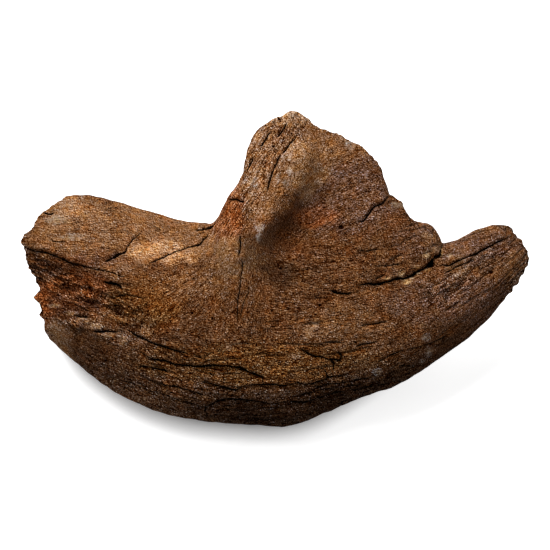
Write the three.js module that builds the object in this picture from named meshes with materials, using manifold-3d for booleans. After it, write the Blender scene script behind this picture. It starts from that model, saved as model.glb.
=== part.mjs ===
// Left half of a mammoth's lower jaw, a single fossil bone, lying on its inner side.
//
// The bone is described in its own plane first: u runs from the broken front to the neck of the
// jaw joint, v runs from the lower border up to the coronoid process, and w points out of the
// cheek side. A closed section stands at every place along the bone, and the sections are
// strung together into one skin. The bone is then tilted onto its inner side and cut level
// where it bears on the ground. Millimetres, +Z up.
import * as THREE from "three";
import { mergeVertices } from "three/addons/utils/BufferGeometryUtils.js";
import Module from "manifold-3d";

const TILT = THREE.MathUtils.degToRad(20); // the bone's plane leans back by this when it lies at rest
const REST_LEVEL = -80; // height of the ground below the bone's own origin
const RINGS = 84; // sections along the bone
const STEPS = 4; // skin points between two neighbouring lines of a section
const CAP_RINGS = 4; // rings that close each broken end

// Lower border and upper border: place along the bone (0 front, 100 neck), u, v.
const LOWER_BORDER = [
  [0, -233, -40],
  [8, -202, -67],
  [16, -167, -92],
  [24, -131, -111],
  [32, -94, -121],
  [38, -64, -126],
  [50, -17, -129],
  [56, 5, -131],
  [62, 30, -126],
  [66, 48, -118],
  [75, 92, -100],
  [80, 121, -88],
  [85, 151, -72],
  [92, 196, -42],
  [96, 224, -16],
  [100, 252, 20],
];
const UPPER_BORDER = [
  [0, -218, 108],
  [8, -191, 107],
  [16, -162, 99],
  [24, -129, 90],
  [32, -94, 81],
  [38, -63, 79], // foot of the coronoid process
  [40, -57, 89],
  [44, -45, 114],
  [46, -35, 127],
  [48, -30, 145],
  [50, -27, 158],
  [52, -18, 174],
  [54, -6, 185],
  [56, 7, 190],
  [58, 19, 196], // tip of the coronoid process
  [60, 32, 191],
  [62, 47, 178],
  [64, 63, 174],
  [66, 79, 166],
  [68, 95, 156],
  [70, 109, 141],
  [72, 114, 126],
  [74, 121, 110],
  [76, 132, 103],
  [77, 138, 93],
  [78, 146, 83],
  [80, 156, 80],
  [82, 165, 73],
  [84, 171, 60],
  [85, 172, 56], // notch in front of the neck
  [86, 177, 58],
  [88, 188, 61],
  [91, 206, 71],
  [94, 225, 78],
  [97, 237, 79],
  [100, 246, 76],
];

// Lines that run the length of the bone, in order round a section. Each lies at this share of the
// way from the lower border to the upper border.
const LINES = [0, 0.12, 0.33, 0.57, 0.82, 1, 0.95, 0.86, 0.72, 0.55, 0.33, 0.12];
const CHEEK_LINES = 6; // the first six lines face the cheek, the rest face the tongue

// How far each line stands out towards the cheek (w) at each place: lower border, four cheek lines,
// upper border, then down the inner side.
const SECTIONS = [
  [0, [-14, 20, 31, 36, 29, 4, -62, -94, -100, -96, -84, -62]],
  [16, [-12, 25, 46, 52, 35, 6, -60, -98, -103, -94, -80, -60]],
  [32, [-10, 32, 57, 62, 38, 4, -54, -92, -96, -86, -72, -55]],
  [38, [-10, 34, 60, 68, 54, 18, -32, -80, -90, -84, -72, -55]],
  [42, [-10, 36, 62, 70, 63, 28, -2, -42, -74, -80, -72, -55]],
  [46, [-10, 37, 63, 68, 64, 34, 12, -8, -56, -76, -72, -55]],
  [50, [-10, 38, 62, 64, 60, 38, 18, 12, -22, -64, -74, -55]],
  [54, [-10, 38, 61, 60, 58, 38, 20, 18, -2, -50, -75, -55]],
  [58, [-10, 37, 60, 57, 54, 38, 22, 20, 8, -40, -76, -54]],
  [66, [-8, 34, 56, 53, 46, 38, 26, 22, 12, -26, -56, -46]],
  [75, [-6, 30, 49, 47, 42, 34, 20, 14, 4, -18, -38, -34]],
  [85, [-4, 25, 41, 42, 34, 22, 2, -6, -14, -24, -32, -26]],
  [92, [-3, 18, 33, 36, 30, 16, -4, -14, -22, -28, -30, -22]],
  [100, [-2, 10, 20, 24, 20, 10, -6, -12, -18, -22, -22, -14]],
];

// Outline of the two broken ends: share of the way up the end, and how far it stands out along u.
const FRONT_BREAK = [
  [0, 0],
  [0.12, -7],
  [0.28, -16],
  [0.36, -13],
  [0.5, -23],
  [0.66, -38],
  [0.75, -34],
  [0.87, -18],
  [1, 0],
];
const NECK_BREAK = [
  [0, 0],
  [0.35, 12],
  [0.7, 8],
  [1, 0],
];
const FRONT_BREAK_REACH = 26; // places over which the front's outline fades out
const NECK_BREAK_REACH = 12;

// Relief of the cheek side: ridges stand out and hollows are pressed in along a path.
const RELIEF = [
  { name: "crest of the coronoid process", rise: 9, width: 17,
    path: [[-36, 56], [-10, 89], [9, 125], [23, 157]] },
  { name: "hollow for the chewing muscle", rise: -14, width: 18,
    path: [[8, 64], [25, 83], [40, 103]] },
  { name: "shallow upper end of that hollow", rise: -4, width: 26,
    path: [[40, 96], [56, 120]] },
  { name: "ledge behind the broken front", rise: 5, width: 11,
    path: [[-262, 59], [-235, 52], [-206, 42], [-178, 36], [-140, 26]] },
  { name: "rotted hollow below the ledge", rise: -12, width: 17,
    path: [[-240, 24], [-197, 8], [-160, -12], [-140, -24]] },
  { name: "lip of the rotted hollow", rise: 3, width: 10,
    path: [[-214, -12], [-176, -32], [-129, -48]] },
  { name: "groove under the tooth row", rise: -5, width: 10,
    path: [[-66, 71], [-100, 60], [-150, 53], [-170, 43]] },
  { name: "groove between the blade and the neck", rise: -6, width: 10,
    path: [[172, 54], [158, 36], [130, 23], [96, 17]] },
  { name: "scar on the neck", rise: -5, width: 11,
    path: [[181, 9], [210, 30], [226, 50]] },
];

// Hollows that open on the inner side, as stretched capsules: middle, half sizes, turn about w.
const HOLLOWS = [
  { name: "tooth socket", middle: [-128, 92, -30], half: [96, 54, 25], turn: -11 },
  { name: "nerve canal at the broken front", middle: [-236, 20, -34], half: [34, 13, 12], turn: -8 },
  { name: "nerve opening of the ramus", middle: [56, 26, -44], half: [44, 16, 19], turn: 26 },
];

const MATERIAL = new THREE.MeshStandardMaterial({ color: 0x6b4a30, roughness: 0.8, metalness: 0 });

// Value of a column of a table at a place, on a smooth curve through the rows.
function smooth(rows, place, column) {
  const last = rows.length - 1;
  let i = 0;
  while (i < last - 1 && place > rows[i + 1][0]) i++;
  const before = rows[Math.max(i - 1, 0)];
  const from = rows[i];
  const to = rows[i + 1];
  const after = rows[Math.min(i + 2, last)];
  const span = to[0] - from[0];
  const t = THREE.MathUtils.clamp((place - from[0]) / span, 0, 1);
  const slopeFrom = ((column(to) - column(before)) / (to[0] - before[0])) * span;
  const slopeTo = ((column(after) - column(from)) / (after[0] - from[0])) * span;
  const t2 = t * t;
  const t3 = t2 * t;
  return (
    (2 * t3 - 3 * t2 + 1) * column(from) +
    (t3 - 2 * t2 + t) * slopeFrom +
    (3 * t2 - 2 * t3) * column(to) +
    (t3 - t2) * slopeTo
  );
}

// Distance from a point to a path of straight stretches, in the bone's plane.
function distanceToPath(u, v, path) {
  let nearest = Infinity;
  const at = new THREE.Vector2(u, v);
  for (let i = 0; i + 1 < path.length; i++) {
    const from = new THREE.Vector2(...path[i]);
    const along = new THREE.Vector2(...path[i + 1]).sub(from);
    const share = THREE.MathUtils.clamp(at.clone().sub(from).dot(along) / along.lengthSq(), 0, 1);
    nearest = Math.min(nearest, at.distanceTo(from.addScaledVector(along, share)));
  }
  return nearest;
}

// How far a broken end's outline reaches along u at a share of the way up, fading along the bone.
function breakOffset(place, share) {
  const front = Math.max(0, 1 - place / FRONT_BREAK_REACH);
  const neck = Math.max(0, 1 - (100 - place) / NECK_BREAK_REACH);
  const reach = (row) => row[1];
  return front ** 2 * smooth(FRONT_BREAK, share, reach) + neck ** 2 * smooth(NECK_BREAK, share, reach);
}

// Closed section of the bone at a place, as points round it from the lower border.
function section(place) {
  const [lowU, lowV] = [1, 2].map((k) => smooth(LOWER_BORDER, place, (row) => row[k]));
  const [highU, highV] = [1, 2].map((k) => smooth(UPPER_BORDER, place, (row) => row[k]));
  const lines = LINES.map((share, line) => {
    const w = smooth(SECTIONS, place, (row) => row[1][line]);
    return new THREE.Vector3(
      THREE.MathUtils.lerp(lowU, highU, share) + breakOffset(place, share),
      THREE.MathUtils.lerp(lowV, highV, share),
      w,
    );
  });
  const round = new THREE.CatmullRomCurve3(lines, true, "centripetal");
  const count = LINES.length * STEPS;
  return Array.from({ length: count }, (_, k) => {
    const point = round.getPoint(k / count);
    const cheek = k < (CHEEK_LINES - 1) * STEPS;
    if (cheek) {
      const edge = Math.sin((Math.PI * k) / ((CHEEK_LINES - 1) * STEPS)) ** 0.5;
      for (const { rise, width, path } of RELIEF) {
        point.z += rise * edge * Math.exp(-((distanceToPath(point.x, point.y, path) / width) ** 2));
      }
    }
    return point;
  });
}

// The skin is a sphere whose rings are moved onto the sections. Its first and last rings draw in
// over the broken ends, which are dished.
function skin() {
  const around = LINES.length * STEPS;
  const rings = RINGS + 2 * CAP_RINGS;
  const geometry = new THREE.SphereGeometry(1, around, rings);
  const position = geometry.getAttribute("position");
  for (let ring = 0; ring <= rings; ring++) {
    const step = THREE.MathUtils.clamp(ring - CAP_RINGS, 0, RINGS);
    const points = section((100 * step) / RINGS);
    const middle = points.reduce((sum, p) => sum.add(p), new THREE.Vector3()).divideScalar(points.length);
    const inFront = Math.max(0, CAP_RINGS - ring) / CAP_RINGS;
    const inNeck = Math.max(0, ring - CAP_RINGS - RINGS) / CAP_RINGS;
    const drawnIn = Math.max(inFront, inNeck);
    const dish = 16 * Math.sin((inFront * Math.PI) / 2) - 5 * Math.sin((inNeck * Math.PI) / 2);
    for (let k = 0; k <= around; k++) {
      const point = points[k % around].clone().lerp(middle, drawnIn);
      point.x += dish;
      position.setXYZ(ring * (around + 1) + k, point.x, point.y, point.z);
    }
  }
  return geometry;
}

function hollow({ middle, half, turn }) {
  const [long, deep, wide] = half;
  const geometry = new THREE.CapsuleGeometry(1, 2 * (long / wide - 1), 6, 16, 6);
  geometry.rotateZ(Math.PI / 2);
  geometry.scale(wide, deep, wide);
  geometry.rotateZ(THREE.MathUtils.degToRad(turn));
  geometry.translate(...middle);
  return geometry;
}

const wasm = await Module();
wasm.setup();

function toSolid(geometry) {
  const bare = geometry.clone();
  bare.deleteAttribute("normal");
  bare.deleteAttribute("uv");
  const merged = mergeVertices(bare, 1e-4);
  const mesh = new wasm.Mesh({
    numProp: 3,
    vertProperties: merged.attributes.position.array,
    triVerts: new Uint32Array(merged.index.array),
  });
  return new wasm.Manifold(mesh);
}

function toGeometry(solid) {
  const { vertProperties, triVerts } = solid.getMesh();
  const geometry = new THREE.BufferGeometry();
  geometry.setAttribute("position", new THREE.BufferAttribute(new Float32Array(vertProperties), 3));
  geometry.setIndex(new THREE.BufferAttribute(new Uint32Array(triVerts), 1));
  geometry.computeVertexNormals();
  return geometry;
}

function laidDown(geometry) {
  geometry.rotateX(TILT);
  geometry.translate(0, 0, -REST_LEVEL);
  return geometry;
}

let bone = toSolid(laidDown(skin()));
for (const each of HOLLOWS) bone = bone.subtract(toSolid(laidDown(hollow(each))));
const ground = new THREE.BoxGeometry(1000, 1000, 200).translate(0, 0, -100);
bone = bone.subtract(toSolid(ground));

// The origin is at the middle of the bone's box, on the ground.
const jaw = new THREE.Mesh(toGeometry(bone), MATERIAL);
jaw.name = "jaw_bone";
const box = new THREE.Box3().setFromObject(jaw);
const centre = box.getCenter(new THREE.Vector3());
jaw.position.set(-centre.x, -centre.y, -box.min.z);

const part = new THREE.Group();
part.add(jaw);

export default part;
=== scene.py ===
import math

import bmesh
import bpy
import numpy as np
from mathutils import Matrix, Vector


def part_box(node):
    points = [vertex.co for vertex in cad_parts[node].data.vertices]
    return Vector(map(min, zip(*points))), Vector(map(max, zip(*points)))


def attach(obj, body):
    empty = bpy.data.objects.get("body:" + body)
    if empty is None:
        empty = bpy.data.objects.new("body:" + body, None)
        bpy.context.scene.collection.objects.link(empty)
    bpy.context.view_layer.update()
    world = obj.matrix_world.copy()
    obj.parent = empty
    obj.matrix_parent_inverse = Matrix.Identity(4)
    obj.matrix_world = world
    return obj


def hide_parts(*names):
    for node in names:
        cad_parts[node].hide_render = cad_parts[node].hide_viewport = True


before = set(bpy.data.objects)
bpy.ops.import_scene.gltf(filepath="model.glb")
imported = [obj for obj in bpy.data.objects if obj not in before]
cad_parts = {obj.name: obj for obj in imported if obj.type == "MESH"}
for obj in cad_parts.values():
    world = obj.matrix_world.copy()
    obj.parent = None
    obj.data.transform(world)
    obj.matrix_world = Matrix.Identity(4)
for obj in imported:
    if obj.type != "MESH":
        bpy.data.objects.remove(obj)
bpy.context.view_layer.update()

# --- The bone's form ---------------------------------------------------------------------------------
# The jaw is one fossil bone, the left half of a mammoth's lower jaw, lying on its inner side.
# Its skin starts as a copy of the plain solid, merged and made anew from small even faces, so that
# the relief of the next sections can be pressed into it.
GRAIN_SIZE = 0.0020  # face of the new skin before it is split once, metres
SMOOTHING_ROUNDS = 14


def apply_modifiers(piece):
    """Gives the piece the mesh that its modifiers make."""
    view = bpy.context.evaluated_depsgraph_get()
    made = bpy.data.meshes.new_from_object(piece.evaluated_get(view))
    piece.modifiers.clear()
    piece.data = made


jaw = bpy.data.objects.new("jaw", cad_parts["jaw_bone"].data.copy())
bpy.context.scene.collection.objects.link(jaw)
plain = bmesh.new()
plain.from_mesh(jaw.data)
bmesh.ops.remove_doubles(plain, verts=plain.verts, dist=2e-5)
plain.to_mesh(jaw.data)
plain.free()
jaw.data.materials.clear()

remesh = jaw.modifiers.new("even faces", "REMESH")
remesh.mode = "VOXEL"
remesh.voxel_size = GRAIN_SIZE
smooth = jaw.modifiers.new("no facets", "SMOOTH")
smooth.iterations = SMOOTHING_ROUNDS
split = jaw.modifiers.new("finer faces", "SUBSURF")
split.levels = split.render_levels = 1
apply_modifiers(jaw)

# --- The bone's own plane ----------------------------------------------------------------------------
# Places on the bone are given in its own plane, which leans back as the bone lies: "along" runs from
# the broken front to the neck, "up" from the lower border to the blade, "out" from the cheek side.
# All three are millimetres from the middle of the bone's side.
LEAN = math.radians(20)
low_corner, high_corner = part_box("jaw_bone")
PLANE_ORIGIN = (low_corner + high_corner) / 2 + Vector((-0.0014, -0.0254, -0.0132))


def bone_places(points):
    """Along, up and out, in millimetres, of points in the frame."""
    x, y, z = ((points - np.array(PLANE_ORIGIN)) * 1000).T
    up = y * math.cos(LEAN) + z * math.sin(LEAN)
    out = z * math.cos(LEAN) - y * math.sin(LEAN)
    return np.stack([x, up, out], axis=1).astype(np.float32)


def vertex_values(mesh, name):
    values = np.empty(len(mesh.vertices) * 3)
    mesh.vertices.foreach_get(name, values)
    return values.reshape(-1, 3)


LATTICE = 64
chance = np.random.default_rng(41)
slopes = chance.normal(size=(LATTICE**3, 3)).astype(np.float32)
slopes /= np.linalg.norm(slopes, axis=1)[:, None]


def lumps(points, start=0):
    """Smooth lumps of chance, from -1 to 1, each about 1 wide. Another start gives other lumps."""
    cell = np.floor(points)
    part = np.ascontiguousarray((points - cell).T, np.float32)
    cell = (cell.astype(np.int32) + 11 * start).T
    blend = part**3 * (part * (part * 6 - 15) + 10)
    rows = [(cell % LATTICE), ((cell + 1) % LATTICE)]
    total = np.zeros(len(points), np.float32)
    for i, j, k in np.ndindex(2, 2, 2):
        slope = slopes[(rows[i][0] * LATTICE + rows[j][1]) * LATTICE + rows[k][2]]
        rise = slope[:, 0] * (part[0] - i) + slope[:, 1] * (part[1] - j) + slope[:, 2] * (part[2] - k)
        share = (blend[0] if i else 1 - blend[0]) * (blend[1] if j else 1 - blend[1])
        total += rise * share * (blend[2] if k else 1 - blend[2])
    return total * 1.7


def rising(values, start, end):
    """0 before start, 1 after end, and smooth between."""
    t = np.clip((values - start) / (end - start), 0, 1)
    return t * t * (3 - 2 * t)


place = bone_places(vertex_values(jaw.data, "co"))
normal = vertex_values(jaw.data, "normal")
along, up, out = place.T
facing_out = normal[:, 2] * math.cos(LEAN) - normal[:, 1] * math.sin(LEAN)
facing_up = normal[:, 1] * math.cos(LEAN) + normal[:, 2] * math.sin(LEAN)
cheek = rising(facing_out, -0.25, 0.15) * rising(out, -32, -25)

# --- The grain ---------------------------------------------------------------------------------------
# Bone fibres run with the body of the jaw, fan in towards the foot of the blade, climb steeply in the
# blade's thick front and bend over across its thin plate. Each of the four has its own coordinates,
# lengthwise first, and a weight that says how far it rules at a place.
FAN_CENTRE = (-2, 71)
FRONT_SLANT = math.radians(58)
PLATE_SLANT = math.radians(30)
PLATE_REACH = 300  # length over which the plate's fibres bend from half right to level, twice


def lower_border(along):
    return 185 - np.sqrt(np.maximum(318**2 - (along + 5) ** 2, 1))


def upper_border(along):
    return 70 + 0.35 * 25 * np.logaddexp(0, (along - 145) / 25)


def lengthwise(slant):
    return along * math.cos(slant) + up * math.sin(slant)


height_share = (up - lower_border(along)) / (upper_border(along) - lower_border(along))
from_fan = np.hypot(along - FAN_CENTRE[0], up - FAN_CENTRE[1])
round_fan = np.arctan2(up - FAN_CENTRE[1], -(along - FAN_CENTRE[0]))
across_front = up * math.cos(FRONT_SLANT) - along * math.sin(FRONT_SLANT)
across_plate = (up - along * (1 - along / PLATE_REACH)) * math.cos(PLATE_SLANT)
GRAIN = {
    "body": np.stack([along, 170 * height_share, out], axis=1),
    "fan": np.stack([from_fan, 95 * round_fan, out], axis=1),
    "front": np.stack([lengthwise(FRONT_SLANT), across_front, out], axis=1),
    "plate": np.stack([lengthwise(PLATE_SLANT), across_plate, out], axis=1),
}
wander = 9 * lumps(place / 40, 1)
beyond_crest = (along + 36) * math.sin(math.radians(59)) - (up - 54) * math.cos(math.radians(59)) + wander
above_foot = rising(up + wander, 46, 74) * rising(along + 0.5 * wander, -84, -58)
front_rule = above_foot * (1 - rising(beyond_crest, -8, 10))
plate_rule = above_foot * rising(beyond_crest, -8, 10) * (1 - rising(along, 105, 150))
fan_rule = rising(along + wander, -165, -105) * (1 - rising(along + wander, -22, 12))
fan_rule *= rising(up + wander, -42, -4) * (1 - above_foot)
RULE = {
    "body": 1 - front_rule - plate_rule - fan_rule,
    "fan": fan_rule,
    "front": front_rule,
    "plate": plate_rule,
}


def grain_lumps(length, width, start, aside=0.0):
    """Lumps drawn out along the grain in all four of its parts, read that far to the side."""
    total = np.zeros(len(along), np.float32)
    for name, rule in RULE.items():
        here = rule > 0.01
        places = (GRAIN[name][here] + np.array([0, aside, aside])) / (length, width, width)
        total[here] += rule[here] * lumps(places, start)
    return total


# --- Relief ------------------------------------------------------------------------------------------
# The weathered surface: uneven all over, and ribbed along the grain, more on the lower body, on the
# upper wall and on the blade's thick front than elsewhere.
swell = 1.6 * lumps(place / 58, 2) + 1.0 * lumps(place / 25, 3) + 0.6 * lumps(place / 11, 4)
low_body = rising(-up - 0.1 * np.abs(along), 10, 75) * cheek
upper_wall = rising(-along, 40, 80) * rising(up + 0.2 * along, -12, 16) * cheek
ribs = grain_lumps(46, 6.5, 5)
threads = grain_lumps(20, 3.2, 6)
rough = (0.22 + 0.40 * low_body + 0.35 * upper_wall + 1.0 * front_rule * cheek) * ribs
rough += (0.20 + 0.2 * front_rule + 0.2 * low_body + 0.2 * upper_wall) * threads
rough += 0.14 * lumps(place / 3.6, 8) + 0.12 * lumps(place / 8, 9)


def to_path(path, along=along, up=up):
    """Signed distance in the bone's plane to a path, more than 0 on its left side as one walks it,
    and the share of its length at the nearest place."""
    corners = np.array(path, float)
    spans = np.linalg.norm(np.diff(corners, axis=0), axis=1)
    reach = np.full(len(along), 1e3)
    share = np.zeros(len(along))
    gone = 0.0
    for start, end, span in zip(corners, corners[1:], spans):
        step = (end - start) / span
        right, over = along - start[0], up - start[1]
        on = np.clip(right * step[0] + over * step[1], 0, span)
        gap = np.hypot(right - on * step[0], over - on * step[1])
        side = np.where(over * step[0] - right * step[1] < 0, -1, 1)
        nearer = gap < np.abs(reach)
        reach[nearer] = (gap * side)[nearer]
        share[nearer] = (gone + on[nearer]) / spans.sum()
        gone += span
    return reach, share


def band(path, width):
    """1 on a path, fading to 0 about a width away from it."""
    return np.exp(-((to_path(path)[0] / width) ** 2))


# The hollow of the chewing muscle behind the blade's crest, deepest beside it.
swell -= 5 * band([(10, 60), (32, 79), (50, 91), (66, 100)], 15) * cheek
swell += 5 * band([(-14, 72), (5, 90), (21, 111), (30, 132), (35, 148)], 12) * cheek
swell -= 4.5 * band([(-30, 76), (-16, 98), (-2, 128)], 12) * cheek

# The rotted hollow behind the broken front: layers that flake off, between a ledge and a pale lip.
hollow = band([(-242, 26), (-200, 8), (-165, -8), (-134, -22)], 23) * cheek
flakes = grain_lumps(24, 7, 9) + 0.55 * grain_lumps(10, 3.6, 10)
STEPS_OF_FLAKES = 3.2
terrace = flakes * STEPS_OF_FLAKES
layers = (np.floor(terrace) + rising(terrace % 1, 0.4, 0.6)) / STEPS_OF_FLAKES
rough += hollow * (3.2 * layers + 0.6 * lumps(place / 3.6, 11)) * rising(normal[:, 2], 0.1, 0.5)
lip = band([(-214, -14), (-188, -25), (-170, -32), (-150, -38), (-126, -50)], 7) * cheek
lip *= rising(lumps(place / 9, 12), -0.35, 0.15)
rough += lip * (2.2 + 2.6 * layers)

# The rugged scar on the neck.
scar = band([(168, 10), (194, 24), (214, 38), (228, 54)], 16) * cheek
rough += scar * (1.8 * lumps(place / 10, 13) + 0.7 * lumps(place / 5, 14))
rough -= 2.4 * band([(175, 8), (186, 13), (192, 17), (198, 26), (207, 34)], 3.2) * cheek
rough -= 2.4 * band([(214, 24), (221, 33), (226, 43)], 3.4) * cheek

# Broken ends and edges, where the spongy inside shows.
front_break = rising(-along, 220, 236) * rising(-normal[:, 0], 0.1, 0.55)
neck_break = rising(along, 234, 246) * rising(normal[:, 0], 0.25, 0.7)
margin = rising(facing_up, 0.3, 0.7) * rising(up, 74, 96) * rising(along, 12, 34) * rising(out, 5, 15)
spongy = np.clip(front_break + neck_break + 0.7 * margin, 0, 1)
rough += (spongy - 0.5 * front_break) * (2.4 * lumps(place / 12, 18) + 1.8 * lumps(place / 5.5, 19))
edge = 1 - rising(np.abs(facing_out), 0.25, 0.6)
blade_edge = edge * rising(up - upper_border(along), -10, 30) * rising(along, -70, -10)
torn = 1.5 * lumps(place / 10, 20) + 0.8 * lumps(place / 4.5, 15)
rough += (blade_edge + 0.4 * edge * front_break) * torn
swell += edge * (1.0 - 2.6 * blade_edge)
fuller = 1.4 * band([(-190, 107), (-130, 92), (-90, 82)], 20)
leaner = 1.6 * band([(-45, 110), (-30, 150), (0, 190)], 24)
swell += edge * (fuller - leaner)
swell -= 1.8 * edge * rising(-along, 205, 235)

# Steps in the broken edge of the plate, where pieces came away: the place, how far it stands out and
# half its width.
STEPS = [((132, 103), 4.6, 5.0), ((142, 88), -3.6, 4.5), ((117, 108), -4.0, 3.6), ((122, 116), 1.6, 4.5),
         ((114, 128), -2.0, 4.0), ((160, 82), 2.0, 5.0), ((104, 143), 1.2, 4.0), ((96, 150), -1.4, 4.0)]
for (step_along, step_up), stands, half in STEPS:
    swell += stands * edge * np.exp(-((along - step_along) ** 2 + (up - step_up) ** 2) / half**2)

# --- Cracks ------------------------------------------------------------------------------------------
# Old drying cracks. Each has the width and depth of its mouth, how far its upper side stands above its
# lower side, and its way from left to right in the bone's plane, all in millimetres.
CRACKS = [
    # between the blade's plate and the neck, and in the plate
    (1.35, 5.0, 2.2, [(86, 17), (100, 18.5), (110, 19), (120, 21.5), (133, 24), (143, 28), (152, 33),
                      (161, 39), (166, 46), (171, 48), (172, 55), (176, 59)]),
    (4.0, 6.0, 0.0, [(158, 37), (164, 41)]),
    (0.9, 2.0, 0.0, [(104, 23), (112, 27)]),
    (1.1, 2.5, 0.5, [(58, 12), (64, 9), (70, 8), (80, 9)]),
    (1.4, 4.0, 1.2, [(85, 81), (91, 82), (97, 89), (104, 97), (113, 101), (118, 108)]),
    (0.8, 1.6, 0.4, [(104, 36), (122, 37), (130, 38)]),
    (0.6, 1.2, 0.3, [(84, 51), (98, 52), (108, 54)]),
    # in the blade's thick front, steep, and the rusty one low at its edge
    (1.1, 3.0, 0.8, [(4, 168), (8, 173), (13, 181)]),
    (1.1, 3.0, 0.8, [(-13, 157), (-8, 165), (-3, 172)]),
    (1.1, 3.0, 0.8, [(9, 150), (16, 159), (23, 167)]),
    (1.3, 3.0, 0.8, [(-8, 112), (-4, 126), (0, 135), (8, 150)]),
    (0.9, 2.5, 0.8, [(-34, 124), (-27, 134), (-20, 147)]),
    (1.2, 3.0, 1.0, [(-46, 104), (-38, 104), (-29, 102)]),
    # below the blade's foot, and faintly on down the fan
    (1.6, 3.5, 0.0, [(-34, 46), (-32, 54), (-32, 60), (-34, 67)]),
    (0.7, 1.4, 0.0, [(-37, -22), (-35, 0), (-33, 16), (-31, 30), (-29, 38), (-33, 46)]),
    # under the tooth row and in the upper wall
    (1.5, 4.0, 1.0, [(-171, 41), (-163, 45), (-157, 49), (-151, 51), (-149, 55)]),
    (0.8, 2.0, 0.5, [(-149, 55), (-143, 64), (-136, 70)]),
    (0.8, 2.5, 1.0, [(-126, 40), (-112, 46), (-98, 53), (-84, 58)]),
    (1.7, 4.0, 1.0, [(-88, 57), (-79, 58), (-74, 62), (-67, 69)]),
    (1.7, 3.5, 0.8, [(-235, 91), (-225, 90)]),
    (0.8, 1.5, 0.4, [(-226, 63), (-219, 61), (-212, 61)]),
    (1.6, 4.0, 1.0, [(-81, 75), (-72, 76), (-66, 78), (-60, 81)]),
    # under the ledge at the front, and in and below the rotted hollow
    (2.2, 6.0, 4.5, [(-252, 55), (-243, 51), (-232, 50), (-222, 46), (-212, 41), (-203, 38),
                     (-195, 36), (-186, 34)]),
    (0.8, 2.0, 1.6, [(-187, 34), (-170, 32), (-150, 25)]),
    (1.9, 4.0, 1.5, [(-173, 20), (-165, 18), (-159, 17), (-153, 13)]),
    (0.8, 2.0, 0.5, [(-161, 4), (-150, 7), (-140, 5), (-131, 3)]),
    (1.2, 2.5, 0.8, [(-203, -14), (-196, -15), (-188, -15)]),
    (1.3, 3.0, 1.0, [(-184, -31), (-170, -30), (-155, -31)]),
    (1.4, 3.5, 1.2, [(-149, -28), (-138, -34), (-126, -40), (-112, -46), (-100, -49), (-86, -53)]),
    (0.8, 1.5, 0.5, [(-80, -55), (-70, -57), (-62, -51)]),
    # the long ones of the lower body
    (1.8, 4.5, 1.4, [(-134, -52), (-122, -59), (-111, -60), (-100, -65), (-88, -66), (-76, -67),
                     (-60, -65), (-46, -66), (-33, -68), (-20, -74), (-11, -77), (-9, -84)]),
    (1.8, 4.5, 1.4, [(-72, -82), (-60, -86), (-48, -89), (-38, -91), (-28, -87), (-8, -85), (12, -86),
                     (25, -84), (35, -86), (46, -84), (54, -81), (60, -78), (76, -76)]),
    (2.1, 5.0, 1.4, [(-105, -100), (-92, -103), (-82, -107), (-69, -110)]),
    (1.3, 3.0, 0.5, [(-70, -109), (-69, -119)]),
    (2.1, 5.0, 1.4, [(-70, -109), (-62, -106), (-56, -102), (-47, -100), (-30, -102), (-20, -103),
                     (-10, -105), (2, -106), (14, -104), (33, -105), (42, -103), (60, -99), (79, -95)]),
    # the short ones among them
    (1.2, 3.0, 1.0, [(-138, -66), (-124, -68), (-107, -73)]),
    (1.1, 3.0, 1.0, [(-165, -78), (-150, -85), (-136, -89)]),
    (1.2, 3.0, 1.0, [(-129, -94), (-118, -95), (-106, -97)]),
    (1.3, 3.0, 1.0, [(-127, -81), (-113, -86), (-97, -88), (-88, -91)]),
    (1.4, 3.0, 1.0, [(-89, -90), (-81, -93), (-72, -95)]),
    (1.4, 3.0, 1.0, [(-62, -117), (-42, -119), (-24, -117)]),
    (1.4, 3.0, 1.0, [(-24, -122), (-8, -124), (8, -122)]),
    (1.2, 3.0, 1.2, [(38, -91), (60, -86), (76, -84), (98, -78)]),
    (1.3, 3.0, 1.2, [(24, -97), (50, -93), (76, -89), (106, -83)]),
    (1.2, 3.0, 1.2, [(60, -98), (80, -94), (105, -88), (132, -81)]),
    # on the belly and below the neck
    (1.4, 3.0, 0.6, [(27, -47), (36, -53), (45, -56), (56, -59), (68, -60), (70, -56), (64, -50)]),
    (1.0, 2.5, 0.3, [(58, -60), (63, -65), (61, -71)]),
    (1.0, 2.5, 0.3, [(53, -70), (57, -79)]),
    (0.8, 2.0, 0.5, [(52, -41), (72, -42)]),
    (1.0, 2.0, 0.6, [(83, -46), (95, -43), (107, -40)]),
    (0.8, 2.0, 0.5, [(88, -24), (104, -22), (116, -20)]),
    (1.0, 2.0, 0.8, [(107, -62), (121, -55), (133, -51)]),
    (1.0, 2.0, 0.8, [(138, -49), (152, -47), (163, -43), (176, -37)]),
    (1.3, 2.0, 0.3, [(130, -67), (140, -66)]),
    # along the neck
    (1.1, 3.0, 1.4, [(169, 37), (180, 37), (187, 41), (195, 44), (203, 47), (212, 52), (222, 56),
                     (231, 62), (243, 67)]),
    (0.9, 2.0, 0.8, [(175, 29), (185, 34), (195, 38), (206, 43)]),
]
shift = np.stack([lumps(place / 9, 21), lumps(place / 9, 22)])
shift = 0.8 * shift + 0.5 * np.stack([lumps(place / 3.2, 23), lumps(place / 3.2, 24)])
mouth = 1.0 + 0.35 * lumps(place / 13, 25)
along, up = along + shift[0], up + shift[1]
sunk = np.zeros(len(along))
face_on = rising(facing_out, -0.05, 0.3) * rising(out, -32, -25)
crack_gap = np.full(len(along), 20.0)
crack_half = np.zeros(len(along))
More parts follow.
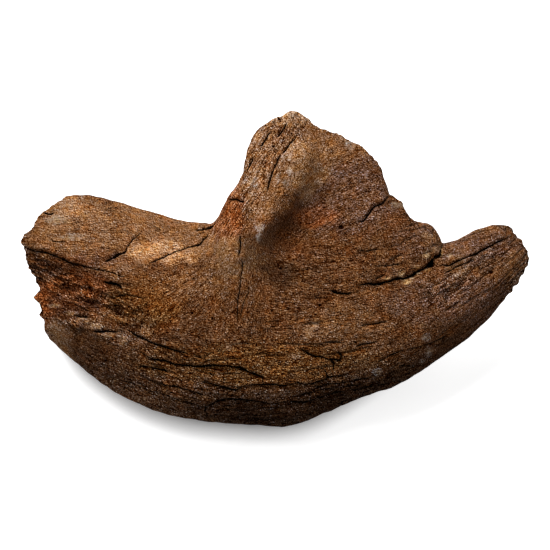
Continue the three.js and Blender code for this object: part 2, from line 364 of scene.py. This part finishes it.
for width, depth, shelf, path in CRACKS:
    low, high = np.min(path, axis=0) - 30, np.max(path, axis=0) + 30
    beside = (along > low[0]) & (along < high[0]) & (up > low[1]) & (up < high[1])
    near = np.flatnonzero(beside & (face_on > 0))
    gap, share = to_path(path, along[near], up[near])
    taper = rising(share, -0.05, 0.15) * rising(1 - share, -0.05, 0.15) * face_on[near]
    half = 0.55 * width * taper * mouth[near]
    sunk[near] += depth * taper * mouth[near] * np.exp(-((gap / (0.5 * width + 0.9)) ** 2))
    swell[near] += 0.5 * shelf * taper * np.tanh(gap / 1.5) * np.exp(-((gap / 12) ** 2))
    nearer = np.abs(gap) - 2 * half < np.abs(crack_gap[near]) - 2 * crack_half[near]
    crack_gap[near[nearer]] = gap[nearer]
    crack_half[near[nearer]] = half[nearer]
along, up, out = place.T


# Thin cracks too many to name, lines along the grain, most of them on the lower body and the neck.
def grain_lines(length, width, start):
    """Signed distance, in millimetres across the grain, to lines that follow it in a chance way."""
    waver = 0.10 * lumps(place / 7, start + 1)
    here = grain_lumps(length, width, start) + waver
    steep = np.abs(grain_lumps(length, width, start, aside=0.6) + waver - here) / 0.6
    return np.clip(here / (steep + 0.01), -20, 20), rising(steep, 0.02, 0.06)


THIN = 0.45  # half width of a thin crack
line_count = 0.55 * rising(-up - 0.1 * np.abs(along), 20, 60) + 0.85 * rising(along + 0.8 * up, 120, 170)
thin_gaps = []
thin_halves = []
for length, width, start, strength in [(120, 11, 26, 1.0), (80, 7, 28, 0.8)]:
    gaps, clear = grain_lines(length, width, start)
    stretch = rising(grain_lumps(80, 10, start + 4), 0.55 - 0.75 * line_count, 0.70 - 0.60 * line_count)
    half = THIN * strength * stretch * clear * face_on * (1 - 0.9 * plate_rule)
    thin_gaps.append(gaps)
    thin_halves.append(half)
    sunk += 3.0 * half * np.exp(-((gaps / 1.3) ** 2))

# --- Pits --------------------------------------------------------------------------------------------
# Holes left by roots and rot. The deep ones have their places, with a size in millimetres, and the
# small ones lie where chance puts them.
PITS = [(69, 76, 2.8), (63, 10, 2.2), (60, 41, 1.3), (47, -4, 1.6), (35, 5, 1.1), (-1, -9, 1.4),
        (-61, -17, 1.5), (-82, -11, 1.7), (-165, 19, 2.4), (-214, 17, 2.2), (-161, -4, 1.6),
        (-172, -61, 1.4), (8, 35, 2.0), (0, 157, 1.8), (6, 186, 1.5), (83, -41, 1.7), (-63, -74, 1.6),
        (162, 38, 3.0), (223, 30, 2.4)]
pitted = np.zeros(len(along))
for pit_along, pit_up, size in PITS:
    away = np.hypot(along + shift[0] - pit_along, (up + shift[1] - pit_up) * 1.3) / size
    hole = rising(-away, -1.3, -0.4) * cheek
    pitted = np.maximum(pitted, hole)
    sunk += 1.1 * size * hole
small_pits = rising(lumps(place / (3.6, 2.6, 3.0), 60), 0.44, 0.66)
small_pits *= rising(lumps(place / 24, 61), -0.1, 0.5)
sunk += 0.7 * small_pits
pitted = np.maximum(pitted, 0.45 * small_pits)

moved = vertex_values(jaw.data, "co") + normal * ((swell + rough - sunk) / 1000)[:, None]

# Splinters that stand out from the broken front: its place up the bone, half height and length.
SPLINTERS = [(61, 6.0, 5.5), (69, 2.5, 3.0), (4, 4.5, 6.0), (-14, 3.0, 3.0), (-31, 4.0, 2.0)]
for splinter_up, half, length in SPLINTERS:
    at_front = rising(-along, 216, 240) * rising(-normal[:, 0], 0.0, 0.6) * rising(out, -10, 20)
    moved[:, 0] -= 0.001 * length * at_front * np.exp(-(((up + shift[1] - splinter_up) / half) ** 2))

# The underside bears on the ground at a few rough places and is clear of it between them.
lying = rising(-vertex_values(jaw.data, "co")[:, 2], -0.004, 0.0)
moved[:, 2] += lying * 0.0012 * (1 + lumps(place / 22, 62))
moved[:, 2] = np.maximum(moved[:, 2], 0.0)
jaw.data.vertices.foreach_set("co", moved.ravel())
jaw.data.update()


def keep(name, values, kind="FLOAT"):
    """Keeps values on the mesh, one for each vertex, under a name that the material reads."""
    fields = {"FLOAT": "value", "FLOAT_VECTOR": "vector", "FLOAT_COLOR": "color"}
    layer = jaw.data.attributes.new(name, kind, "POINT")
    layer.data.foreach_set(fields[kind], np.ascontiguousarray(values, np.float32).ravel())


nothing = np.zeros(len(along))
keep("crack", np.stack([crack_gap, crack_half, nothing], axis=1), "FLOAT_VECTOR")
keep("thin_cracks", np.stack([thin_gaps[0], thin_gaps[1], nothing], axis=1), "FLOAT_VECTOR")
keep("thin_halves", np.stack([thin_halves[0], thin_halves[1], nothing], axis=1), "FLOAT_VECTOR")
keep("pitted", pitted)
keep("height", np.clip(0.5 + 0.16 * rough, 0, 1))
keep("spongy", spongy)
keep("coarse", np.clip(0.9 * hollow + lip + low_body + 0.6 * front_rule + 0.8 * scar + spongy, 0, 1))
for name, places in GRAIN.items():
    keep("grain_" + name, places / 1000, "FLOAT_VECTOR")
keep("rule", np.stack([fan_rule, front_rule, plate_rule, np.ones(len(along))], axis=1), "FLOAT_COLOR")

# --- Staining ----------------------------------------------------------------------------------------
# The ground has stained the bone brown, redder where it is rotted or hollow and paler where it is
# rubbed. Some patches hold painted light and shade as well: the lower body and lower border are darker
# where they face down, the patch under the ledge is its painted shadow, and the blade's front and the
# slope above the muscle hollow are painted lighter where they face the light. Each patch has a place and
# a half size in the bone's plane, one of the stains, and how strong it is.
STAINS = {
    "brown": (106, 66, 35),  # most of the bone
    "tan": (146, 102, 65),
    "sand": (176, 132, 92),
    "buff": (202, 150, 104),
    "grey brown": (114, 78, 54),
    "umber": (78, 47, 23),
    "dark umber": (54, 32, 15),
    "ochre": (110, 63, 18),
    "rust": (128, 65, 24),
    "dark rust": (76, 38, 14),
    "chip": (235, 190, 135),
    "crust": (140, 118, 96),
    # the glint is a painted highlight
    "glint": (205, 185, 170),
}


def linear(colour):
    """A colour as people write it, 0 to 255, in the linear units of light."""
    share = np.array(colour) / 255
    return np.where(share < 0.04045, share / 12.92, ((share + 0.055) / 1.055) ** 2.4)


PATCHES = [
    ("upper wall of the body", (-150, 75), (95, 26), "tan", 0.9),
    ("worn patch under the tooth row", (-112, 50), (42, 11), "buff", 0.9),
    ("behind the worn patch", (-70, 62), (30, 14), "tan", 0.7),
    ("front of the ledge", (-222, 70), (30, 22), "tan", 0.5),
    ("top of the ledge", (-215, 98), (34, 13), "sand", 0.7),
    # painted shade: the lower body is darker where it faces down
    ("lower body at the front", (-165, -62), (70, 26), "umber", 0.8),
    ("low front edge", (-228, -46), (22, 26), "sand", 0.6),
    ("belly", (-10, -20), (90, 46), "brown", 0.6),
    ("ochre belly", (-10, -62), (130, 22), "ochre", 0.6),
    ("foot of the crest", (-38, 45), (30, 22), "sand", 0.5),
    ("darker flank", (-92, -30), (30, 42), "umber", 0.5),
    ("between hollow and flank", (-162, 16), (24, 26), "tan", 0.5),
    ("upper flank", (-84, 18), (56, 13), "tan", 0.5),
    ("below the ledge", (-180, 44), (26, 10), "grey brown", 0.5),
    ("rotted hollow", (-200, 8), (60, 24), "dark rust", 0.9),
    # painted shadow under the ledge's overhang
    ("under the ledge", (-222, 38), (34, 10), "dark rust", 0.6),
    ("rotted hollow, reddest", (-200, 18), (34, 12), "rust", 0.5),
    ("rotted hollow, deepest", (-226, 5), (14, 10), "dark rust", 0.7),
    ("ochre end of the hollow", (-130, -2), (38, 30), "ochre", 0.6),
    ("lip of the hollow", (-172, -30), (44, 8), "dark umber", 0.5),
    ("end of the lip", (-130, -28), (20, 11), "umber", 0.5),
    ("broken corner below the ledge", (-236, -10), (10, 26), "rust", 0.7),
    ("foot of the blade", (-50, 84), (18, 20), "rust", 0.7),
    # partly painted light: the blade's front is lighter where it faces the light
    ("front of the blade", (-16, 135), (32, 44), "tan", 0.8),
    ("plate", (75, 112), (52, 44), "grey brown", 0.8),
    ("beside the crest", (40, 138), (18, 24), "sand", 0.6),
    ("top of the plate", (62, 162), (50, 20), "tan", 0.7),
    ("dark middle of the plate", (48, 80), (34, 12), "umber", 0.5),
    # painted light on a slope that the relief shades
    ("slope above the hollow", (30, 120), (16, 14), "sand", 0.6),
    ("crest above its foot", (-6, 80), (13, 28), "tan", 0.5),
    ("front edge of the blade", (-42, 106), (14, 18), "rust", 0.6),
    ("top of the crest", (24, 150), (8, 14), "sand", 0.6),
    ("broken edge of the plate", (148, 66), (26, 22), "grey brown", 0.6),
    ("last corner of the plate", (165, 58), (10, 12), "sand", 0.7),
    ("crown of the blade", (12, 187), (26, 9), "sand", 0.7),
    ("hollow of the muscle", (8, 76), (26, 15), "dark rust", 0.5),
    ("red rim of the hollow", (42, 88), (24, 12), "rust", 0.5),
    ("red marks below the hollow", (22, 52), (28, 14), "dark rust", 0.35),
    ("below the muscle hollow", (38, 14), (40, 13), "umber", 0.4),
    ("beside the foot of the crest", (10, 28), (15, 14), "dark umber", 0.7),
    ("flank towards the neck", (70, -26), (44, 22), "tan", 0.5),
    ("dark band towards the neck", (128, -8), (14, 34), "umber", 0.4),
    ("neck, upper band", (205, 56), (50, 16), "grey brown", 0.8),
    ("neck, lower band", (190, 0), (70, 24), "grey brown", 0.7),
    ("pale bone in the scar", (188, 36), (15, 9), "sand", 0.4),
    ("end of the neck", (250, 32), (14, 22), "tan", 0.5),
    # painted shade: the lower border is darker where it faces down
    ("lower border towards the neck", (100, -92), (80, 20), "umber", 0.6),
    ("lower border", (20, -112), (170, 22), "umber", 0.8),
]
drift = 7 * np.stack([lumps(place / 22, 70), lumps(place / 22, 71)])
drift += 3 * np.stack([lumps(place / 8, 72), lumps(place / 8, 73)])


def reach_of(middle, half, push):
    """Distance squared from the middle of an oval, 1 at its rim, with its outline pushed about."""
    return ((along + push[0] - middle[0]) / half[0]) ** 2 + ((up + push[1] - middle[1]) / half[1]) ** 2


stain = np.tile(linear(STAINS["brown"]), (len(along), 1))
stain *= (1 + 0.22 * lumps(place / 45, 74) + 0.22 * lumps(place / 16, 75))[:, None]
uneven = (1 + 0.15 * lumps(place / 10, 76))[:, None]
for name, middle, half, tone, strength in PATCHES:
    share = (strength * cheek * (1 - rising(reach_of(middle, half, drift), 0.35, 1.6)))[:, None]
    stain = stain * (1 - share) + linear(STAINS[tone]) * share * uneven

# In the rotted hollow the layers that stand out are pale and those below are dark red, partly painted
# light and shade: paler on the raised layers and darker in the low steps between them.
flake_tone_and_shade = np.clip(hollow, 0, 1) * np.clip(1.3 * layers, -0.7, 1.2)
stain *= 1 + np.outer(flake_tone_and_shade, (0.75, 0.85, 0.95))

# The upper edges that face up are painted paler and greyer, painted light from above, and the lower
# border is painted darker where it turns under, painted shade.
painted_light_on_upper_edges = rising(facing_up, 0.35, 0.8) * rising(up, 45, 70) * rising(along, -15, 15) * cheek
stain *= 1 + np.outer(painted_light_on_upper_edges, (0.5, 0.65, 0.85))
painted_shade_underneath = rising(-facing_up, 0.42, 0.85) * rising(along, -110, -20) * cheek
stain *= 1 - np.outer(painted_shade_underneath, (0.66, 0.70, 0.76))

# The broken rim of the plate is painted paler too, a painted highlight along its edge.
rim = blade_edge * rising(along, 30, 60) * cheek
stain *= 1 + np.outer(rim, (0.55, 0.6, 0.65))

# Small pale marks, each with its place and half size: chips along the long crack, rubbed spots on the
# hollow's lip and the belly, grey crusts, and the glints on the blade, which are painted highlights, as
# are the last four crusts, on the blade's front.
MARKS = {
    "chip": [((130, 28), (3.2, 3.0)), ((135, 21), (3.2, 2.6)), ((116, 24), (4.0, 1.5)),
             ((156, 48), (3.4, 3.4)), ((158, 33), (3.0, 1.8)), ((148, 30), (2.0, 2.0)),
             ((141, 26), (2.0, 1.8)), ((172, 52), (1.8, 6.0))],
    "sand": [((146, 35), (4.5, 2.0)), ((156, 67), (4.5, 4.5)), ((166, 53), (4.0, 3.0)),
             ((36, -31), (5.0, 6.0)), ((42, -22), (3.5, 4.0)), ((22, -55), (3.5, 2.5)),
             ((-45, -46), (2.5, 3.0)), ((-57, -72), (1.6, 3.5)), ((-206, -12), (7.0, 2.4)),
             ((-193, -18), (7.0, 3.4)), ((-180, -25), (7.0, 3.2)), ((-167, -33), (5.5, 3.4)),
             ((-153, -39), (6.0, 5.0)), ((-224, -4), (7.0, 1.8))],
    "crust": [((78, 160), (5.5, 5.5)), ((128, 99), (8.0, 4.5)), ((155, -36), (5.0, 3.5)),
              ((160, -52), (3.5, 5.0)), ((153, -61), (2.5, 2.0)), ((151, -24), (2.0, 3.5)),
              ((107, -72), (4.0, 3.5)), ((84, -78), (3.0, 1.6)), ((-222, 83), (12.0, 5.0)),
              # the last four crusts, on the blade's front, are painted glints
              ((-205, 66), (14.0, 4.0)), ((-20, 120), (4.5, 5.0)), ((-13, 116), (4.5, 4.0)),
              ((5, 125), (2.6, 6.0)), ((12, 119), (1.8, 5.0))],
    "glint": [((-15, 76), (3.6, 4.5)), ((-16, 65), (2.4, 5.5)), ((181, 47), (3.4, 2.6)),
              ((8, 163), (2.0, 2.0)), ((11, 147), (2.6, 4.5)), ((17, 145), (1.8, 3.5)),
              ((16, 133), (2.2, 4.0)), ((-29, 121), (2.4, 4.0))],
}
specks = 0.35 + 0.65 * rising(lumps(place / 2.6, 81), -0.2, 0.2)
streaks = specks + front_rule * (rising(grain_lumps(9, 2.2, 80), -0.1, 0.3) - specks)
marked = np.zeros(len(along))
for tone, marks in MARKS.items():
    for middle, half in marks:
        share = 0.8 * cheek * streaks * (1 - rising(reach_of(middle, half, shift), 0.4, 1.5))
        stain = stain * (1 - share[:, None]) + np.outer(share, linear(STAINS[tone]))
        marked = np.maximum(marked, share)

warm = rising(lumps(place / 11, 77), 0.1, 0.5)[:, None]
stain = stain * (1 - 0.4 * warm) + stain * np.array([1.3, 1.02, 0.72]) * 0.4 * warm
keep("stain", np.concatenate([np.clip(stain, 0, 1), np.ones((len(along), 1))], axis=1), "FLOAT_COLOR")
keep("marked", marked)

# The mesh is thinned where it is flat, and keeps its faces where it is rough.
MOST_TRIANGLES = 194000
thin_out = jaw.modifiers.new("fewer faces", "DECIMATE")
thin_out.ratio = min(1, MOST_TRIANGLES / (2 * len(jaw.data.polygons)))
apply_modifiers(jaw)
for face in jaw.data.polygons:
    face.use_smooth = True

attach(jaw, "root")
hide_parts("jaw_bone")

# --- Fossil bone -------------------------------------------------------------------------------------
# Dry mineral-stained bone: the stain, broken into fine fibres and grains that are dark in their gaps and
# pale on top, partly as painted relief shading, cracks painted near-black as shade, open pores where it
# is broken, and no polish.
bone = bpy.data.materials.new("fossil bone")
bone.use_nodes = True
tree = bone.node_tree
tree.nodes.clear()


def add(kind, inputs=None, tree=tree, **settings):
    """A new shader node. Inputs are set to a value, or joined to another node's socket."""
    made = tree.nodes.new(kind)
    for name, value in settings.items():
        setattr(made, name, value)
    for name, value in (inputs or {}).items():
        if isinstance(value, bpy.types.NodeSocket):
            tree.links.new(value, made.inputs[name])
        else:
            made.inputs[name].default_value = value
    return made


def sums(operation, first, second=0.0, tree=tree):
    return add("ShaderNodeMath", {0: first, 1: second}, tree, operation=operation).outputs[0]


def total_of(*values):
    """The sum of values, each a pair of a socket or number and the number it is multiplied by."""
    total = 0.0
    for value, times in values:
        total = add("ShaderNodeMath", {0: value, 1: times, 2: total}, operation="MULTIPLY_ADD").outputs[0]
    return total


def ranged(value, low, high, to_low=0.0, to_high=1.0, tree=tree):
    inputs = {"Value": value, "From Min": low, "From Max": high, "To Min": to_low, "To Max": to_high}
    return add("ShaderNodeMapRange", inputs, tree, interpolation_type="SMOOTHSTEP").outputs["Result"]


def mixed(share, first, second, blend="MIX"):
    made = add("ShaderNodeMix", {"Factor": share}, data_type="RGBA", blend_type=blend)
    for socket, value in ((made.inputs[6], first), (made.inputs[7], second)):
        if isinstance(value, bpy.types.NodeSocket):
            tree.links.new(value, socket)
        else:
            socket.default_value = value
    return made.outputs[2]


# Fibres drawn out along the first coordinate of a vector: how high each place is in them, and the
# longer dark lines between some of them.
fibres = bpy.data.node_groups.new("fibres", "ShaderNodeTree")
fibres.interface.new_socket("Places", in_out="INPUT", socket_type="NodeSocketVector")
fibres.interface.new_socket("Length", in_out="INPUT", socket_type="NodeSocketFloat")
fibres.interface.new_socket("Width", in_out="INPUT", socket_type="NodeSocketFloat")
for name in ("Height", "Line"):
    fibres.interface.new_socket(name, in_out="OUTPUT", socket_type="NodeSocketFloat")
entry = fibres.nodes.new("NodeGroupInput")
leave = fibres.nodes.new("NodeGroupOutput")
size = add("ShaderNodeCombineXYZ", {"X": entry.outputs["Length"], "Y": entry.outputs["Width"],
                                    "Z": entry.outputs["Width"]}, fibres)
scaled = add("ShaderNodeVectorMath", {0: entry.outputs["Places"], 1: size.outputs[0]}, fibres,
             operation="DIVIDE")
strands = add("ShaderNodeTexNoise", {"Vector": scaled.outputs[0], "Scale": 1.0, "Detail": 1.0,
                                     "Roughness": 0.5}, fibres)
beside = add("ShaderNodeVectorMath", {0: scaled.outputs[0], 1: (0.2, 0.75, 0.55)}, fibres,
             operation="ADD")
next_strands = add("ShaderNodeTexNoise", {"Vector": beside.outputs[0], "Scale": 1.0, "Detail": 1.0,
                                          "Roughness": 0.5}, fibres)
sharp = sums("SUBTRACT", strands.outputs["Fac"], next_strands.outputs["Fac"], fibres)
longer = add("ShaderNodeVectorMath", {0: scaled.outputs[0], 1: (0.12, 0.30, 0.30)}, fibres,
             operation="MULTIPLY")
lines = add("ShaderNodeTexNoise", {"Vector": longer.outputs[0], "Scale": 1.0, "Detail": 1.0}, fibres)
fibres.links.new(sums("MULTIPLY", sharp, 0.75, fibres), leave.inputs["Height"])
from_line = sums("SUBTRACT", lines.outputs["Fac"], 0.5, fibres)
away = add("ShaderNodeMath", {0: from_line}, fibres, operation="ABSOLUTE")
fibres.links.new(ranged(away.outputs[0], 0.045, 0.01, tree=fibres), leave.inputs["Line"])


def value_of(name, output="Fac"):
    return add("ShaderNodeAttribute", attribute_name=name).outputs[output]


def fibre_of(part, length, width):
    made = add("ShaderNodeGroup", node_tree=fibres)
    tree.links.new(value_of("grain_" + part, "Vector"), made.inputs["Places"])
    made.inputs["Length"].default_value = length
    made.inputs["Width"].default_value = width
    return made.outputs


coords = add("ShaderNodeTexCoord").outputs["Object"]
rule = add("ShaderNodeSeparateColor", {"Color": value_of("rule", "Color")})
others = total_of((rule.outputs[0], 1.0), (rule.outputs[1], 1.0), (rule.outputs[2], 1.0))
body_share = sums("SUBTRACT", 1.0, others)
parts = [
    (fibre_of("body", 0.0032, 0.0009), body_share),
    (fibre_of("fan", 0.0022, 0.0009), rule.outputs[0]),
    (fibre_of("front", 0.0070, 0.0010), rule.outputs[1]),
    (fibre_of("plate", 0.0028, 0.0009), rule.outputs[2]),
]
height = total_of(*[(outputs["Height"], share) for outputs, share in parts])
line = total_of(*[(outputs["Line"], share) for outputs, share in parts])

GRITS_PER_METRE = 780.0
# The grit read again a little way off and taken from itself below gives each grain a lighter and a darker
# side: painted relief shading.
PAINTED_RELIEF_OFFSET = (0.0007, 0.0006, -0.0005)  # the grit's height is read again this far away, in metres
grit = add("ShaderNodeTexNoise", {"Vector": coords, "Scale": GRITS_PER_METRE, "Detail": 0.0})
grit = grit.outputs["Fac"]
beside = add("ShaderNodeVectorMath", {0: coords, 1: PAINTED_RELIEF_OFFSET}, operation="ADD").outputs[0]
grit_for_painted_relief = add("ShaderNodeTexNoise", {"Vector": beside, "Scale": GRITS_PER_METRE, "Detail": 0.0})
grit_for_painted_relief = grit_for_painted_relief.outputs["Fac"]
blotches = add("ShaderNodeTexNoise", {"Vector": coords, "Scale": 40.0, "Detail": 1.0}).outputs["Fac"]
pores = add("ShaderNodeTexVoronoi", {"Vector": coords, "Scale": 230.0}, feature="F1").outputs["Distance"]
pore = sums("MULTIPLY", ranged(pores, 0.42, 0.2), value_of("spongy"))

# How light or dark a place is, as a power of e: 0 is the stain itself. Besides the grain's own tone it
# holds painted shade: darker in the furrows between fibres, where the relief is low, and in the pits and
# open pores, and paler on the raised fibres and the relief.
furrow = ranged(total_of((height, 1.0), (grit, 0.25)), 0.05, -0.07)
texture = total_of((height, 3.3), (furrow, -0.9), (grit, 4.3), (grit_for_painted_relief, -4.3), (line, -1.2))
strength = ranged(value_of("coarse"), 0.0, 1.0, 0.88, 1.25)
strength = sums("MULTIPLY", strength, ranged(value_of("stain"), 0.06, 0.17, 1.05, 0.78))
strength = sums("MULTIPLY", strength, ranged(value_of("marked"), 0.0, 0.8, 1.0, 0.5))
texture = sums("MULTIPLY", sums("SUBTRACT", texture, -0.45), strength)
lightness = total_of((texture, 1.0), (blotches, 0.5), (value_of("height"), 0.3),
                     (value_of("marked"), 0.7))
pits = ranged(total_of((value_of("pitted"), 1.0), (grit, 0.8)), 0.75, 1.0)
lightness = total_of((lightness, 1.0), (pits, -2.6), (pore, -2.2), (0.67, -1.0))
darker = sums("MINIMUM", lightness, 0.0)
lighter = sums("MAXIMUM", lightness, 0.0)
lightness = total_of((darker, 0.8), (sums("MULTIPLY", darker, darker), -0.3), (lighter, 0.85))
TONES = (0.73, 1.04, 1.52)  # the pale grains are greyer than the dark ones
by_channel = add("ShaderNodeVectorMath", {0: TONES}, operation="SCALE")
tree.links.new(lightness, by_channel.inputs["Scale"])
channels = add("ShaderNodeSeparateXYZ", {0: by_channel.outputs[0]})
factors = add("ShaderNodeCombineXYZ", {n: sums("EXPONENT", channels.outputs[n]) for n in range(3)})
toned = add("ShaderNodeVectorMath", {0: value_of("stain", "Color"), 1: factors.outputs[0]},
            operation="MULTIPLY")
hue = add("ShaderNodeTexNoise", {"Vector": coords, "Scale": 130.0, "Detail": 2.0}).outputs["Fac"]
rusty = mixed(ranged(hue, 0.35, 0.7), (0.97, 1.0, 1.08, 1), (1.08, 0.95, 0.68, 1))
hued = mixed(1.0, toned.outputs[0], rusty, "MULTIPLY")
PALEST = (0.85, 0.65, 0.48)
topped = add("ShaderNodeVectorMath", {0: hued, 1: PALEST}, operation="MINIMUM")


# Cracks, painted near-black as shade where a place is inside the mouth of one. All is in millimetres.
def inside(gap, half, soft):
    """1 within half of the middle of a crack, with a ragged rim that is soft wide."""
    away = sums("SUBTRACT", sums("ABSOLUTE", gap), half)
    ragged = add("ShaderNodeMath", {0: grit, 1: 0.5, 2: -0.25}, operation="MULTIPLY_ADD").outputs[0]
    shown = ranged(half, 0.05, 0.2)
    return sums("MULTIPLY", ranged(sums("ADD", away, ragged), soft, -0.2), shown)


crack = add("ShaderNodeSeparateXYZ", {0: value_of("crack", "Vector")})
thin = add("ShaderNodeSeparateXYZ", {0: value_of("thin_cracks", "Vector")})
halves = add("ShaderNodeSeparateXYZ", {0: value_of("thin_halves", "Vector")})
dark_crack = inside(crack.outputs[0], crack.outputs[1], 0.4)
dark_thin = sums("MAXIMUM", inside(thin.outputs[0], halves.outputs[0], 0.3),
                 inside(thin.outputs[1], halves.outputs[1], 0.3))
dark = sums("MAXIMUM", dark_crack, sums("MULTIPLY", dark_thin, 0.5))
PAINTED_CRACK_SHADE = (0.006, 0.003, 0.0012, 1)
colour = mixed(dark, topped.outputs[0], PAINTED_CRACK_SHADE)

bumps = total_of((height, 1.1), (line, -0.5), (grit, 0.8), (dark, -1.2), (pits, -0.3), (pore, -1.2))
raised = add("ShaderNodeBump", {"Height": bumps, "Strength": 1.0, "Distance": 0.0022}).outputs["Normal"]
rough_here = ranged(total_of((grit, 1.0), (rule.outputs[1], -0.1), (dark, 1.0)), 0.35, 0.65, 0.55, 0.92)
shine = sums("MULTIPLY", ranged(lightness, -0.6, 0.6, 0.0, 0.12), sums("SUBTRACT", 1.0, dark))
shader = add("ShaderNodeBsdfPrincipled", {"Base Color": colour, "Roughness": rough_here, "Normal": raised,
                                          "Specular IOR Level": shine})
surface = add("ShaderNodeOutputMaterial")
tree.links.new(shader.outputs[0], surface.inputs["Surface"])
jaw.data.materials.append(bone)

# --- The white table and the light -------------------------------------------------------------------
# A plain white table top, a wide soft light above and behind, and a pale room round it. The table is
# shown a little overexposed, as white grounds are, except close to the bone, where an occlusion node
# takes that glow away as a painted contact shadow, and it throws back only part of the light.
floor_shape = bmesh.new()
bmesh.ops.create_grid(floor_shape, x_segments=1, y_segments=1, size=6.0)
table_top = bpy.data.objects.new("table_top", bpy.data.meshes.new("table_top"))
floor_shape.to_mesh(table_top.data)
floor_shape.free()
bpy.context.scene.collection.objects.link(table_top)
white = bpy.data.materials.new("white table")
white.use_nodes = True
table_shader = white.node_tree.nodes["Principled BSDF"]
table_shader.inputs["Roughness"].default_value = 0.9
table_shader.inputs["Specular IOR Level"].default_value = 0.0
painted_contact_shadow = white.node_tree.nodes.new("ShaderNodeAmbientOcclusion")
painted_contact_shadow.inputs["Distance"].default_value = 0.035
open_floor = white.node_tree.nodes.new("ShaderNodeMapRange")
for name, value in {"From Min": 0.35, "From Max": 0.80, "To Min": 0.0, "To Max": 0.66}.items():
    open_floor.inputs[name].default_value = value
white.node_tree.links.new(painted_contact_shadow.outputs["AO"], open_floor.inputs["Value"])
seen = white.node_tree.nodes.new("ShaderNodeLightPath").outputs["Is Camera Ray"]
shown_colour = white.node_tree.nodes.new("ShaderNodeMix")
shown_colour.data_type = "RGBA"
shown_colour.inputs[6].default_value = (0.35, 0.35, 0.35, 1)
shown_colour.inputs[7].default_value = (0.95, 0.95, 0.95, 1)
white.node_tree.links.new(seen, shown_colour.inputs["Factor"])
white.node_tree.links.new(shown_colour.outputs[2], table_shader.inputs["Base Color"])
table_shader.inputs["Emission Color"].default_value = (1, 1, 1, 1)
lifted = white.node_tree.nodes.new("ShaderNodeMath")
lifted.operation = "MULTIPLY"
white.node_tree.links.new(seen, lifted.inputs[0])
white.node_tree.links.new(open_floor.outputs["Result"], lifted.inputs[1])
white.node_tree.links.new(lifted.outputs[0], table_shader.inputs["Emission Strength"])
table_top.data.materials.append(white)

middle_of_bone = (low_corner + high_corner) / 2


def soft_light(name, direction, distance, width, depth, power):
    lamp = bpy.data.lights.new(name, "AREA")
    lamp.shape = "RECTANGLE"
    lamp.size = width
    lamp.size_y = depth
    lamp.energy = power
    holder = bpy.data.objects.new(name, lamp)
    holder.location = middle_of_bone + Vector(direction).normalized() * distance
    holder.rotation_euler = (middle_of_bone - holder.location).to_track_quat("-Z", "Y").to_euler()
    bpy.context.scene.collection.objects.link(holder)


soft_light("key light", (-0.28, 0.50, 0.82), 1.8, 1.6, 1.2, 46)

room = bpy.data.worlds.new("pale room")
room.use_nodes = True
room.node_tree.nodes["Background"].inputs["Color"].default_value = (1, 1, 1, 1)
room.node_tree.nodes["Background"].inputs["Strength"].default_value = 0.40
bpy.context.scene.world = room
bpy.context.scene.view_settings.view_transform = "Standard"

# The camera looks square on to the bone's plane, from above and a little in front.
CAMERA_DISTANCE = 2.2
VIEW_WIDTH = 0.570
camera = bpy.data.cameras.new("camera")
camera.sensor_width = 36
camera.lens = camera.sensor_width * CAMERA_DISTANCE / VIEW_WIDTH
looker = bpy.data.objects.new("camera", camera)
bpy.context.scene.collection.objects.link(looker)
square_on = Vector((0, -math.sin(LEAN), math.cos(LEAN)))
up_the_bone = Vector((0, math.cos(LEAN), math.sin(LEAN)))
aim = PLANE_ORIGIN + Vector((0.0018, 0, 0)) + up_the_bone * 0.0272
looker.location = aim + square_on * CAMERA_DISTANCE
looker.rotation_euler = (-square_on).to_track_quat("-Z", "Y").to_euler()
bpy.context.scene.camera = looker
